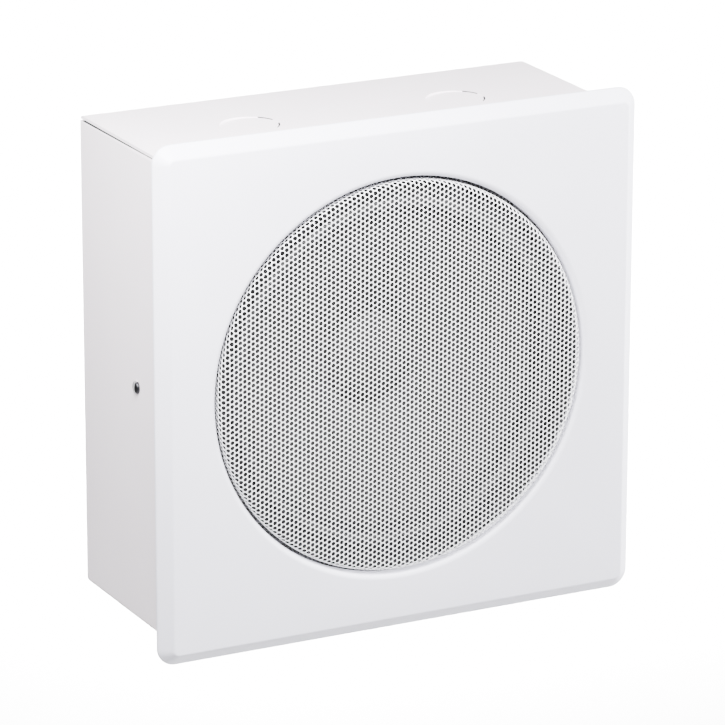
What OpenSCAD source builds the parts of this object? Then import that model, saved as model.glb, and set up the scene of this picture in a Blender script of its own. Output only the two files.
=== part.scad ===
// Wall cabinet loudspeaker for a 100 V line: a folded steel box with a pressed steel front,
// a perforated steel grille, a 200 mm moving-coil driver and a small line transformer.
// Units are millimetres. X runs to the right, Y towards the wall and Z up. The origin is the
// middle of the box's back face, where it lies against the wall.

/* [Front panel] */
// Width of the front panel
panel_w = 250; // [246:1:270]
// Height of the front panel
panel_h = 250; // [246:1:270]
// Thickness of the front panel's sheet
panel_t = 1.2; // [0.8:0.1:1.6]
// Radius of the front panel's corners
panel_corner_r = 9; // [8:0.5:12]
// Width of the sloping border, seen from the front
bevel_w = 6; // [4:0.5:7]
// Slope of the border away from the face, in degrees
bevel_a = 42; // [30:1:50]
// Radius where the face turns into the border
knee_r = 2; // [0.8:0.1:2.4]
// Radius where the border turns back at the rim
rim_r = 1.5; // [1.3:0.1:2]
// Width of the panel between its edge and the opening, at the middle of its shorter side
opening_margin = 28.5; // [24:0.5:40]
// Radius of the rolled-in edge round the opening
roll_r = 4.5; // [3:0.25:5]
// Depth of the rolled-in edge, from the panel's face
roll_d = 6; // [5.5:0.25:8]

/* [Grille] */
// Gap around the grille in the opening
grille_gap = 1.7; // [1:0.1:3]
// Thickness of the grille's sheet
grille_t = 1; // [0.6:0.1:1.2]
// Radius of the grille's shoulder
grille_shoulder_r = 3; // [2:0.25:4]
// How far the grille stands proud of the panel's face
grille_proud = 0.5; // [0:0.1:2]
// Radius of the bend between the grille's wall and its flange
grille_bend_r = 1; // [0.6:0.1:1.6]
// Width of the grille's flange behind the edge of the opening
grille_flange_w = 9.5; // [7:0.5:12]
// Diameter of each hole of the modelled perforation
hole_d = 4.5; // [3:0.25:5]
// Distance between neighbouring holes of the modelled perforation
hole_pitch = 7.5; // [7:0.25:12]
// Plain width left between the outermost holes and the shoulder
hole_margin = 1; // [0.5:0.25:4]

/* [Box] */
// Distance of the box's side from the panel's edge
box_side_inset = 8; // [6:0.5:14]
// Distance of the box's top from the panel's edge
box_top_inset = 9; // [6:0.5:14]
// Depth of the box and panel together, from the wall to the panel's face
overall_d = 103.5; // [101:0.5:130]
// Thickness of the box's sheet
box_t = 1.5; // [1:0.1:2]
// Inner radius of the box's folds
fold_in_r = 1; // [0.5:0.1:2]
// Inner radius of the tight fold between a side and its welding tab
tab_in_r = 0.2; // [0.1:0.1:1]
// Width of the welding tabs under the top and over the bottom
tab_w = 12; // [8:1:18]
// Height of the seam under the top sheet, at the back and at the front
seam_back = 0.9; // [0.3:0.1:1.2]
seam_front = 0.3; // [0.1:0.1:0.6]

/* [Knock-outs and wall holes] */
// Diameter of the knock-outs for conduit
knockout_d = 28; // [20:0.5:30]
// Depth to which the discs are pushed in, at their free edge and at their tie
knockout_sunk = 1.2; // [0.6:0.1:1.4]
knockout_tie_sunk = 0.1; // [0.05:0.05:0.4]
// Width of the slit beside the tie, and half of the tie's angle
knockout_slit = 0.5; // [0.3:0.1:0.8]
knockout_tie_angle = 13; // [10:1:25]
// Distance of the top knock-outs from the middle
knockout_x = 54; // [40:1:60]
// Distance of the top knock-outs from the wall
knockout_y = 51; // [40:1:60]
// Height of the knock-out in the back wall
knockout_z = 84; // [78:1:88]
// Distance of the wall screws from the sides of the box
wall_hole_side_inset = 22; // [18:1:40]
// Distance of the wall screws from the top and bottom of the box
wall_hole_top_inset = 21; // [18:1:40]
// Diameter of the wall screw holes
wall_hole_d = 5.5; // [4.5:0.5:6.5]

/* [Side screws and their brackets] */
// Depth of the side screws behind the panel's face
side_screw_depth = 42.5; // [36:0.5:50]
// Diameter of the side screws' thread
side_screw_d = 3; // [2.5:0.5:4]
// Diameter of the side screws' heads
side_head_d = 6; // [5.5:0.25:8]
// Height of the side screws' heads
side_head_h = 2; // [1.5:0.25:2.5]
// Length of the side screws under the head
side_screw_l = 8; // [7:1:12]
// Thickness of the panel's brackets
bracket_t = 1.5; // [1:0.1:2]
// Length of each bracket, behind the panel
bracket_l = 52; // [50:1:60]
// Height of each bracket
bracket_h = 40; // [25:1:60]
// Width of the bracket's foot on the panel
bracket_foot = 9; // [6:0.5:10]
// Room between a bracket and the box's side
bracket_gap = 0.3; // [0.1:0.1:0.5]
// Diameter of the clinch nuts
clinch_d = 7; // [6:0.5:9]
// Height of the clinch nuts inside the bracket
clinch_h = 2.5; // [2:0.5:4]

/* [Driver fixing] */
// Distance of the studs from the edge of the driver
stud_margin = 8; // [7:0.5:12]
// Diameter of the driver's studs
stud_d = 4; // [3:0.5:5]
// Length of the driver's studs, from the panel's back
stud_l = 19; // [17:1:26]
// Width of the clamps over the driver's rim
clamp_w = 14; // [10:1:20]
// Thickness of the clamps
clamp_t = 1.5; // [1:0.1:2]
// How far the clamps reach over the driver's rim
clamp_grip = 4; // [2:0.5:6]
// Distance from the stud to the clamp's outer leg
clamp_leg = 7; // [6:0.5:9]
// Nut size across flats for every 1 mm of thread
nut_flats_ratio = 1.75; // [1.6:0.05:1.9]
// Nut height for every 1 mm of thread
nut_height_ratio = 0.8; // [0.5:0.05:1]

/* [Driver] */
// Width of the driver's edge that lies behind the panel, from the edge of the opening
driver_overlap = 6; // [4:0.5:9]
// Thickness of the gasket between grille and driver
gasket_t = 2; // [1:0.25:3]
// Width of the gasket
gasket_w = 10.5; // [8:0.25:10.5]
// Thickness of the basket's sheet
basket_t = 1.2; // [0.8:0.1:1.4]
// Width of the basket's flange
basket_flange_w = 10.5; // [9:0.5:13]
// Depth of the step that holds the surround, below the rim
basket_step = 1.6; // [1.3:0.1:2.2]
// Width of the step that holds the surround
basket_land = 7.5; // [7:0.25:8]
// Depth of the spider's shelf below the rim
shelf_depth = 34; // [33:0.5:38]
// Outer diameter of the spider's shelf
shelf_d = 114; // [112:1:118]
// Inner diameter of the spider's shelf
shelf_in_d = 92; // [88:1:94]
// Depth of the motor seat below the spider's shelf
seat_depth = 9; // [9:0.5:12]
// Number of windows in the basket
windows = 6; // [4:1:8]
// Part of each window's sector that is open
window_open = 0.72; // [0.5:0.02:0.8]

/* [Diaphragm] */
// Travel of the diaphragm each way from rest
travel = 2; // [1:0.25:2.5]
// Thickness of the paper cone
cone_t = 0.8; // [0.6:0.1:1]
// Distance of the cone's edge from the edge of the driver
cone_inset = 23.2; // [20:0.2:28]
// Thickness of the surround and the spider
edge_t = 0.6; // [0.4:0.1:0.7]
// Radius of the surround's roll
surround_roll_r = 3; // [2.5:0.1:3]
// Depth of the cone's lip below the surround's land
cone_lip_depth = 3.4; // [3:0.1:4]
// Depth of the cone, from its lip to its neck
cone_depth = 26.5; // [24:0.5:27]
// Flare of the cone, 1 for straight sides
cone_flare = 1.25; // [1:0.05:1.4]
// Diameter of the dust cap
cap_d = 44; // [36:1:50]
// Height of the dust cap
cap_h = 7; // [5:0.5:10]
// Thickness of the dust cap
cap_t = 0.5; // [0.3:0.1:0.8]
// Number of rings pressed in the spider
spider_rings = 4; // [2:1:5]
// Height of the spider's rings
spider_wave = 1; // [0.6:0.1:1.2]
// Distance of the spider's collar behind its rings
spider_collar = 3; // [2.5:0.1:3.2]

/* [Voice coil and motor] */
// Inner diameter of the voice coil's former
former_d = 25.6; // [25:0.1:26]
// Wall of the former
former_t = 0.3; // [0.2:0.05:0.4]
// Thickness of the winding
winding_t = 0.4; // [0.3:0.05:0.5]
// Height of the winding
winding_h = 8; // [6:0.5:9]
// Room for glue between the coil and what it carries
glue_gap = 0.1; // [0.05:0.05:0.15]
// Room each side of the voice coil in its gap
coil_gap = 0.4; // [0.3:0.05:0.6]
// Diameter of the top plate
top_plate_d = 76; // [70:1:80]
// Thickness of the top plate
top_plate_t = 5; // [4:0.5:6]
// Diameter of the ring magnet
magnet_d = 85; // [80:1:90]
// Diameter of the hole through the ring magnet
magnet_hole_d = 42; // [38:1:45]
// Thickness of the ring magnet
magnet_t = 12; // [10:0.5:14]
// Diameter of the yoke's plate
yoke_d = 80; // [74:1:84]
// Thickness of the yoke's plate
yoke_t = 5; // [4:0.5:6]

/* [Tag strip and wires] */
// Length of the tag strip
strip_l = 24; // [20:1:28]
// Width of the tag strip
strip_w = 9.5; // [8:0.5:10]
// Thickness of the tag strip
strip_t = 1.5; // [1:0.25:2]
// Distance of the two solder tags from the strip's middle
tag_x = 7; // [6:0.5:9]
// Width of a solder tag
tag_w = 4; // [3:0.5:5]
// Thickness of a solder tag
tag_t = 0.8; // [0.5:0.1:1]
// How far a solder tag stands out of the strip
tag_out = 5; // [4:0.5:7]
// Diameter of the insulated wires
wire_d = 2; // [1.4:0.2:2.4]
// Diameter of the braided leads to the voice coil
tinsel_d = 1.2; // [0.8:0.1:1.4]

/* [Line transformer] */
// Length of the laminated core
core_w = 48; // [46:1:52]
// Height of the laminated core above the back wall
core_h = 40; // [38:1:42]
// Thickness of the stack of laminations
core_stack = 17; // [14:1:20]
// Width of the core's outer legs and yokes
core_leg = 8; // [7:0.5:9]
// Height of the transformer's middle below the box's middle
core_z = 78; // [76:1:82]
// Wall of the transformer's bobbin
bobbin_t = 0.8; // [0.6:0.1:1]
// Room round the bobbin in the core
bobbin_gap = 0.15; // [0.1:0.05:0.2]
// Thickness of the coil on the bobbin
coil_t = 6; // [5:0.25:6.2]
// Thickness of the transformer's strap
strap_t = 1.2; // [0.8:0.1:1.5]
// Width of the transformer's strap
strap_w = 15; // [12:1:17]
// Distance between the strap's screws
strap_hole_x = 62; // [61:1:66]

/* [Terminal block and earth] */
// Distance of the terminal block from the box's middle, across
block_x = 55; // [50:1:58]
// Height of the terminal block above the box's middle
block_z = 80; // [76:1:84]
// Number of poles of the terminal block
block_poles = 4; // [3:1:4]
// Distance between the poles
block_pitch = 8; // [7:0.5:9]
// Width of the terminal block
block_w = 20; // [18:1:24]
// Height of the terminal block above the back wall
block_h = 14; // [12:1:18]
// Height of the terminal block's fixing lugs
lug_h = 4; // [3:0.5:5]
// Length of each fixing lug
lug_l = 8; // [7:0.5:9]
// Diameter of the terminal screws
clamp_screw_d = 4; // [3:0.5:4.5]
// Diameter of the studs on the back wall
back_stud_d = 3; // [2.5:0.5:4]
// Diameter of the earth stud
earth_d = 5; // [4:0.5:6]
// Length of the earth stud
earth_l = 12; // [10:1:16]

/* [Hidden] */
$fn = 96;

// Faces of a small hole, and of one hole of the perforation
hole_fn = 32;
perforation_fn = 24;
// Room of a screw, stud or bolt in its hole, across
screw_room = 0.4;
// Room of a thread in its nut, across
thread_room = 0.1;
// Short straight run beside each bend, so that neighbouring sheets meet squarely
run = 0.5;
// Depth to which welded sheets run into each other
weld = 0.1;

// Depths behind the panel's face, measured towards the wall
flange_s = roll_d;
gasket_s = flange_s + grille_t;
rim_front_s = gasket_s + gasket_t;
rim_back_s = rim_front_s + basket_t;
land_s = rim_front_s + basket_step;
lip_s = land_s + cone_lip_depth;
shelf_s = rim_front_s + shelf_depth;
seat_s = shelf_s + seat_depth;
motor_s = seat_s + basket_t;
magnet_s = motor_s + top_plate_t;
yoke_s = magnet_s + magnet_t;
neck_s = lip_s + cone_depth;

// Sizes that follow the sheet and the panel
fold_r = box_t + fold_in_r;
tab_r = box_t + tab_in_r;
seam_reach = tab_w / 2;
opening_d = min(panel_w, panel_h) - 2 * opening_margin;
grille_d = opening_d - 2 * grille_gap;
grille_flange_d = opening_d + 2 * grille_flange_w;
box_w = panel_w - 2 * box_side_inset;
box_h = panel_h - 2 * box_top_inset;
wall_hole_x = box_w - 2 * wall_hole_side_inset;
wall_hole_z = box_h - 2 * wall_hole_top_inset;
side_screw_y = overall_d - side_screw_depth;
driver_d = opening_d + 2 * driver_overlap;
basket_flange_d = driver_d - 2 * basket_flange_w;
cone_d = driver_d - 2 * cone_inset;
stud_r = driver_d / 2 + stud_margin;

// Places along Y and radii that several pieces share
panel_back_y = -(overall_d - panel_t);
inner_back_y = -box_t;
box_side_x = box_w / 2;
bracket_x = box_side_x - box_t - bracket_gap;
mouth_r = opening_d / 2 + roll_r + run;
grille_r = grille_d / 2;
grille_flat_r = grille_r - grille_shoulder_r - run;
land_out_r = basket_flange_d / 2 - basket_step / 2;
land_in_r = land_out_r - basket_land;
basket_wall_h = 9;
lip_w = 4;
leg_r = cone_d / 2 + 0.2;
former_out_r = former_d / 2 + former_t;
neck_r = former_out_r + glue_gap;
neck_collar = 2.5;
winding_out_r = neck_r + winding_t;
winding_s = motor_s + top_plate_t / 2 - winding_h / 2;
spider_leg_r = neck_r + 4;
strip_r = (shelf_d + shelf_in_d) / 4;
strip_s = shelf_s + basket_t;
tag_s = strip_s + strip_t;
nut_corner = nut_flats_ratio / cos(30);

// A sheet's outline: a line of points, and the same line moved sideways by the thickness
function unit(v) = v / norm(v);
function left(v) = [-v[1], v[0]];
function side_dir(p, i) = left(unit(p[i + 1] - p[i]));
function corner_dir(a, b) = (a + b) / (1 + a * b);
function offset_dir(p, i) =
    i == 0 ? side_dir(p, 0)
    : i == len(p) - 1 ? side_dir(p, i - 1)
    : corner_dir(side_dir(p, i - 1), side_dir(p, i));
function sheet(p, t) = concat(p, [for (i = [len(p) - 1 : -1 : 0]) p[i] + t * offset_dir(p, i)]);
function bend(c, r, from, to, n) = [for (i = [0 : n]) c + r * [cos(from + (to - from) * i / n), sin(from + (to - from) * i / n)]];
function rounded(w, h, r) = concat(
    bend([w / 2 - r, h / 2 - r], r, 0, 90, 4), bend([r - w / 2, h / 2 - r], r, 90, 180, 4),
    bend([r - w / 2, r - h / 2], r, 180, 270, 4), bend([w / 2 - r, r - h / 2], r, 270, 360, 4)
);

// Moves a shape whose Z is the depth behind the panel's face to its place
module behind_face() translate([0, -overall_d, 0]) rotate([-90, 0, 0]) children();
// Stands a flat outline of X and Z up and thickens it towards the front
module towards_front(y, length) translate([0, y, 0]) rotate([90, 0, 0]) linear_extrude(length) children();
// Places a shape on both sides
module both_sides() {
    children();
    mirror([1, 0, 0]) children();
}

// Border of the panel: face, knee, slope and rim
knee_u = panel_corner_r - bevel_w;
rim_u = panel_corner_r - rim_r;
rim_s = (rim_u - knee_u) * tan(bevel_a) + rim_r / cos(bevel_a);
border = concat(
    [[0, 0]],
    bend([knee_u - knee_r * tan(bevel_a / 2), knee_r], knee_r, -90, bevel_a - 90, 4),
    bend([rim_u, rim_s], rim_r, bevel_a - 90, 0, 4),
    [[panel_corner_r, rim_s + run]]
);
rolled_edge = concat(
    [[mouth_r, 0]],
    bend([mouth_r - run, roll_r], roll_r, -90, -180, 8),
    [[opening_d / 2, roll_d]]
);
flat_w = panel_w - 2 * panel_corner_r;
flat_h = panel_h - 2 * panel_corner_r;

module border_section() polygon(sheet(border, panel_t));
module border_side(from_middle, length) translate([from_middle, 0, 0])
    rotate([90, 0, 0]) linear_extrude(length, center = true) border_section();

module front_panel() color("white") behind_face() {
    linear_extrude(panel_t) difference() {
        square([flat_w, flat_h], center = true);
        circle(r = mouth_r);
    }
    for (turn = [0, 180]) {
        rotate(turn) border_side(flat_w / 2, flat_h);
        rotate(turn + 90) border_side(flat_h / 2, flat_w);
        rotate(turn) translate([flat_w / 2, flat_h / 2, 0]) rotate_extrude(angle = 90) border_section();
        rotate(turn) translate([-flat_w / 2, flat_h / 2, 0]) rotate(90) rotate_extrude(angle = 90) border_section();
    }
    rotate_extrude() polygon(sheet(rolled_edge, -panel_t));
}

// Grille: a perforated disc, a rounded shoulder, a wall and a flange behind the panel
grille_edge = concat(
    [[grille_flat_r, -grille_proud]],
    bend([grille_r - grille_shoulder_r, grille_shoulder_r - grille_proud], grille_shoulder_r, -90, 0, 6),
    bend([grille_r + grille_bend_r, flange_s - grille_bend_r], grille_bend_r, 180, 90, 4),
    [[grille_flange_d / 2, flange_s]]
);
hole_field_r = grille_flat_r - hole_margin - hole_d / 2;
column_step = hole_pitch * sqrt(3) / 2;
columns = floor(hole_field_r / column_step);
rows = floor(hole_field_r / hole_pitch) + 1;

module perforation() for (i = [-columns : columns]) for (j = [-rows : rows]) {
    place = [i * column_step, (j + (i % 2 == 0 ? 0 : 0.5)) * hole_pitch];
    if (norm(place) <= hole_field_r) translate(place) circle(d = hole_d, $fn = perforation_fn);
}

module grille() color("gainsboro") behind_face() {
    translate([0, 0, -grille_proud]) linear_extrude(grille_t) difference() {
        circle(r = grille_flat_r);
        perforation();
    }
    rotate_extrude() polygon(sheet(grille_edge, grille_t));
}

// Folded box: one sheet makes the sides and the bottom, with welding tabs along the top;
// another makes the back wall and the top, which lies over the tabs with an open seam
inner_x = box_side_x - box_t;
under_top = box_h / 2 - box_t;
tab_top = under_top + weld;
wrap_line = concat(
    [[tab_w - box_side_x, tab_top]],
    bend([tab_r - box_side_x, tab_top - tab_r], tab_r, 90, 180, 3),
    bend([fold_r - box_side_x, fold_r - box_h / 2], fold_r, 180, 270, 4),
    bend([box_side_x - fold_r, fold_r - box_h / 2], fold_r, 270, 360, 4),
    bend([box_side_x - tab_r, tab_top - tab_r], tab_r, 0, 90, 3),
    [[box_side_x - tab_w, tab_top]]
);
top_line = concat(
    [[panel_back_y, box_h / 2]],
    bend([-fold_r, box_h / 2 - fold_r], fold_r, 90, 0, 4),
    [[0, box_t - box_h / 2 - weld]]
);
seam_side = [
    [panel_back_y - run, under_top], [-fold_r, under_top],
    [-fold_r, under_top - seam_back], [panel_back_y - run, under_top - seam_front]
];
module along_x(length) rotate([90, 0, 90]) linear_extrude(length, center = true) children();

module folded_sheets() {
    difference() {
        towards_front(0, -panel_back_y) polygon(sheet(wrap_line, box_t));
        both_sides() translate([box_side_x - seam_reach / 2 + run, 0, 0])
            along_x(seam_reach + 2 * run) polygon(seam_side);
        translate([-box_w, -fold_r - run, box_h / 2 - fold_r])
            cube([2 * box_w, 2 * fold_r, 2 * fold_r]);
    }
    difference() {
        along_x(box_w) polygon(sheet(top_line, -box_t));
        both_sides() translate([inner_x + weld, -2 * box_h, -2 * box_h + under_top])
            cube([box_w, 4 * box_h, 2 * box_h]);
    }
}

// A knock-out is a disc pushed in at one side and held at the other by a tie
sunk_angle = atan((knockout_sunk - knockout_tie_sunk) / knockout_d);
sunk_middle = (knockout_sunk + knockout_tie_sunk) / 2;
module sunk_plane() translate([0, 0, -sunk_middle]) rotate([0, -sunk_angle, 0]) children();
module knockout_disc() sunk_plane()
    translate([0, 0, -box_t]) cylinder(d = knockout_d + 2 * knockout_slit + 1, h = box_t);
module knockout_recess() {
    difference() {
        translate([0, 0, -2 * box_t]) cylinder(d = knockout_d, h = 4 * box_t);
        sunk_plane() translate([0, 0, -5 * box_t]) cylinder(d = 2 * knockout_d, h = 5 * box_t);
    }
    for (from = [knockout_tie_angle, -3.6 * knockout_tie_angle])
        translate([0, 0, -3 * box_t]) rotate(from) rotate_extrude(angle = 2.6 * knockout_tie_angle)
            translate([(knockout_d - knockout_slit) / 2, 0]) square([knockout_slit, 5 * box_t]);
}
module at_knockouts() {
    for (side = [-1, 1]) translate([side * knockout_x, -knockout_y, box_h / 2]) children();
    translate([0, 0, knockout_z]) rotate([-90, 0, 0]) children();
}

module back_box() color("whitesmoke") difference() {
    union() {
        folded_sheets();
        at_knockouts() knockout_disc();
    }
    at_knockouts() knockout_recess();
    both_sides() for (up = [-1, 1]) translate([wall_hole_x / 2, box_t, up * wall_hole_z / 2])
        rotate([90, 0, 0]) cylinder(d = wall_hole_d, h = 3 * box_t, $fn = hole_fn);
    translate([0, -side_screw_y, 0]) rotate([0, 90, 0])
        cylinder(d = side_screw_d + screw_room, h = 2 * box_w, center = true, $fn = hole_fn);
}

// Brackets welded to the panel, with a clinch nut each, and the screws that hold the front
bracket_bend_r = 2;
clinch_collar_d = side_screw_d + 1.2;
bracket_line = concat(
    [[bracket_x - bracket_foot, panel_back_y]],
    bend([bracket_x - bracket_bend_r, panel_back_y + bracket_bend_r], bracket_bend_r, -90, 0, 4),
    [[bracket_x, panel_back_y + bracket_l]]
);
module along_side_screw(x) translate([x, -side_screw_y, 0]) rotate([0, 90, 0]) children();

module panel_bracket() color("silver") difference() {
    linear_extrude(bracket_h, center = true) polygon(sheet(bracket_line, bracket_t));
    along_side_screw(bracket_x - 2 * bracket_t)
        cylinder(d = clinch_collar_d + thread_room, h = 3 * bracket_t, $fn = hole_fn);
}
module panel_bracket_right() panel_bracket();
module panel_bracket_left() mirror([1, 0, 0]) panel_bracket();

module clinch_nut() difference() {
    union() {
        along_side_screw(bracket_x - bracket_t - clinch_h) cylinder(d = clinch_d, h = clinch_h, $fn = hole_fn);
        along_side_screw(bracket_x - bracket_t) cylinder(d = clinch_collar_d, h = bracket_t, $fn = hole_fn);
    }
    along_side_screw(bracket_x - bracket_t - 2 * clinch_h)
        cylinder(d = side_screw_d + thread_room, h = 3 * clinch_h + bracket_t, $fn = hole_fn);
}
module clinch_nuts() color("silver") both_sides() clinch_nut();

head_r = side_head_d / 2;
head_profile = concat(
    [[0, 0], [head_r, 0], [head_r, 0.35 * side_head_h]],
    [for (a = [20 : 20 : 80]) [head_r * cos(a), side_head_h * (0.35 + 0.65 * sin(a))]],
    [[0, side_head_h]]
);
slot_w = side_head_d / 6;
module side_screw() color("silver") difference() {
    union() {
        along_side_screw(box_side_x) rotate_extrude($fn = hole_fn) polygon(head_profile);
        along_side_screw(box_side_x - side_screw_l) cylinder(d = side_screw_d, h = side_screw_l, $fn = hole_fn);
    }
    along_side_screw(box_side_x + side_head_h) cube([2 * side_head_d, slot_w, side_head_h], center = true);
}
module side_screw_right() side_screw();
module side_screw_left() mirror([1, 0, 0]) side_screw();

// Studs, clamps and nuts that press the driver and the grille's flange against the panel
clamp_bend_r = 0.5;
clamp_in_r = stud_r + clamp_leg - clamp_t;
clamp_line = concat(
    [[driver_d / 2 - clamp_grip, rim_back_s]],
    bend([clamp_in_r - clamp_bend_r, rim_back_s - clamp_bend_r], clamp_bend_r, 90, 0, 3),
    [[clamp_in_r, panel_t]]
);
module at_stud(turn) behind_face() rotate(turn) children();
module at_each_stud() for (turn = [45 : 90 : 315]) at_stud(turn) translate([stud_r, 0, 0]) children();
module hex_nut(d) difference() {
    cylinder(d = d * nut_corner, h = d * nut_height_ratio, $fn = 6);
    translate([0, 0, -d]) cylinder(d = d + thread_room, h = 3 * d, $fn = hole_fn);
}
module driver_clamp(turn) color("silver") at_stud(turn) difference() {
    rotate([90, 0, 0]) linear_extrude(clamp_w, center = true) polygon(sheet(clamp_line, clamp_t));
    translate([stud_r, 0, 0]) cylinder(d = stud_d + screw_room, h = 3 * rim_back_s, $fn = hole_fn);
}
module clamp_upper_left() driver_clamp(225);
module clamp_upper_right() driver_clamp(315);
module clamp_lower_left() driver_clamp(135);
module clamp_lower_right() driver_clamp(45);
module driver_studs() color("silver") at_each_stud()
    translate([0, 0, panel_t]) cylinder(d = stud_d, h = stud_l, $fn = hole_fn);
module driver_nuts() color("silver") at_each_stud()
    translate([0, 0, rim_back_s + clamp_t]) hex_nut(stud_d);

// Driver: gasket, pressed basket and its windows
module driver_gasket() color("dimgray") behind_face() translate([0, 0, gasket_s]) difference() {
    cylinder(d = driver_d, h = gasket_t);
    translate([0, 0, -run]) cylinder(r = driver_d / 2 - gasket_w, h = gasket_t + 2 * run);
}

wall_r = shelf_d / 2 + 3;
basket_line = [
    [driver_d / 2, rim_front_s], [basket_flange_d / 2, rim_front_s],
    [land_out_r, land_s], [land_in_r, land_s], [land_in_r - run, land_s + basket_wall_h],
    [wall_r, shelf_s - 2], [shelf_d / 2, shelf_s], [shelf_in_d / 2, shelf_s],
    [shelf_in_d / 2 - 2.5, shelf_s + 3], [shelf_in_d / 2 - 4, seat_s - 1.5],
    [shelf_in_d / 2 - 6.5, seat_s], [winding_out_r + 2.4, seat_s]
];
window_from_s = land_s + basket_wall_h + 3;
window_to_s = shelf_s - 6;
module basket() color("dimgray") behind_face() difference() {
    rotate_extrude() polygon(sheet(basket_line, -basket_t));
    for (i = [0 : windows - 1]) rotate(90 + (i - window_open / 2) * 360 / windows)
        translate([0, 0, window_from_s]) rotate_extrude(angle = window_open * 360 / windows)
            translate([shelf_d / 2, 0]) square([driver_d / 2, window_to_s - window_from_s]);
}

// Diaphragm: surround, cone, dust cap and spider. The inner legs of the surround and the
// spider stand back from their outer rings, and flex as the cone travels.
surround_front_s = land_s - edge_t;
surround_line = concat(
    [[land_out_r - 0.2, surround_front_s]],
    bend([leg_r + surround_roll_r, surround_front_s], surround_roll_r, 0, -180, 10),
    [[leg_r, lip_s - edge_t], [cone_d / 2 - lip_w + 0.2, lip_s - edge_t]]
);
module surround() color("black") behind_face() rotate_extrude() polygon(sheet(surround_line, -edge_t));

cone_in_r = neck_r + 1;
cone_out_r = cone_d / 2 - lip_w;
cone_steps = 10;
function cone_s(r) = lip_s + cone_depth * pow(1 - (r - cone_in_r) / (cone_out_r - cone_in_r), cone_flare);
cone_line = concat(
    [[cone_d / 2, lip_s]],
    [for (i = [0 : cone_steps]) let (r = cone_out_r - (cone_out_r - cone_in_r) * i / cone_steps) [r, cone_s(r)]],
    [[neck_r, neck_s + run], [neck_r, neck_s + neck_collar]]
);
module cone() color("black") behind_face() rotate_extrude() polygon(sheet(cone_line, -cone_t));

cap_edge_s = cone_s(cap_d / 2) - 1.5 * glue_gap;
cap_sphere_r = (cap_d * cap_d / 4 + cap_h * cap_h) / (2 * cap_h);
cap_angle = asin(cap_d / 2 / cap_sphere_r);
cap_steps = 8;
function cap_point(a) = [cap_sphere_r * sin(a), cap_edge_s - cap_h + cap_sphere_r * (1 - cos(a))];
cap_line = concat(
    [for (i = [cap_steps : -1 : 1]) cap_point(cap_angle * i / cap_steps)],
    [[0, cap_point(cap_angle / cap_steps)[1]]]
);
module dust_cap() color("black") behind_face() rotate_extrude() polygon(sheet(cap_line, cap_t));

spider_front_s = shelf_s - edge_t;
wave_steps = 8;
wave_out_r = shelf_in_d / 2;
spider_line = concat(
    [[shelf_d / 2 - 1, spider_front_s]],
    [for (i = [0 : wave_steps * spider_rings]) [
        wave_out_r + (spider_leg_r - wave_out_r) * i / (wave_steps * spider_rings),
        spider_front_s - spider_wave * sin(360 * i / wave_steps)
    ]],
    [[spider_leg_r, spider_front_s + spider_collar], [neck_r, spider_front_s + spider_collar]]
);
module spider() color("darkorange") behind_face() rotate_extrude() polygon(sheet(spider_line, -edge_t));

// Voice coil and magnet
former_top_s = neck_s - 1.5;
former_end_s = winding_s + winding_h + 1;
module ring(s, r_out, r_in, h) behind_face() translate([0, 0, s]) difference() {
    cylinder(r = r_out, h = h);
    translate([0, 0, -run]) cylinder(r = r_in, h = h + 2 * run);
}
module voice_coil_former() color("tan") ring(former_top_s, former_out_r, former_d / 2, former_end_s - former_top_s);
module voice_coil_winding() color("chocolate") ring(winding_s, winding_out_r, neck_r, winding_h);
module top_plate() color("silver") ring(motor_s, top_plate_d / 2, winding_out_r + coil_gap, top_plate_t);
module magnet() color("dimgray") ring(magnet_s, magnet_d / 2, magnet_hole_d / 2, magnet_t);
module yoke() color("silver") behind_face() {
    translate([0, 0, yoke_s]) cylinder(d = yoke_d, h = yoke_t);
    translate([0, 0, motor_s]) cylinder(r = former_d / 2 - coil_gap, h = yoke_s - motor_s + run);
}

// Tag strip on the basket's shelf, its solder tags and the braided leads to the cone
module tag_strip() color("peru") behind_face() translate([0, strip_r, strip_s + strip_t / 2])
    cube([strip_l, strip_w, strip_t], center = true);
tag_end_r = strip_r + strip_w / 2 + tag_out;
module solder_tags() color("gold") behind_face() both_sides()
    translate([tag_x - tag_w / 2, strip_r, tag_s]) cube([tag_w, tag_end_r - strip_r, tag_t]);

// Round wires: rings of points swept along a smooth line through a few points
function curve_at(a, b, c, d, t) =
    0.5 * (2 * b + (c - a) * t + (2 * a - 5 * b + 4 * c - d) * t * t + (3 * b - a - 3 * c + d) * t * t * t);
function nearby(p, i) = p[max(0, min(len(p) - 1, i))];
function curve(p, n) = concat(
    [for (i = [0 : len(p) - 2]) for (k = [0 : n - 1])
        curve_at(nearby(p, i - 1), p[i], p[i + 1], nearby(p, i + 2), k / n)],
    [p[len(p) - 1]]
);
function wire_ring(at, along, r) =
    let (a = unit(cross(along, [1, 0, 0])), b = unit(cross(a, along)))
    [for (k = [0 : 7]) at + r * (cos(45 * k) * a + sin(45 * k) * b)];
function wire_points(line, r) = [for (i = [0 : len(line) - 1])
    each wire_ring(line[i], nearby(line, i + 1) - nearby(line, i - 1), r)];
function wire_faces(rings) = concat(
    [[for (k = [0 : 7]) k]],
    [for (i = [0 : rings - 2]) for (k = [0 : 7]) let (n = (k + 1) % 8)
        [8 * i + k, 8 * (i + 1) + k, 8 * (i + 1) + n, 8 * i + n]],
    [[for (k = [7 : -1 : 0]) 8 * (rings - 1) + k]]
);
module wire(route, d) {
    line = curve(route, 3);
    polyhedron(points = wire_points(line, d / 2), faces = wire_faces(len(line)));
}

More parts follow.
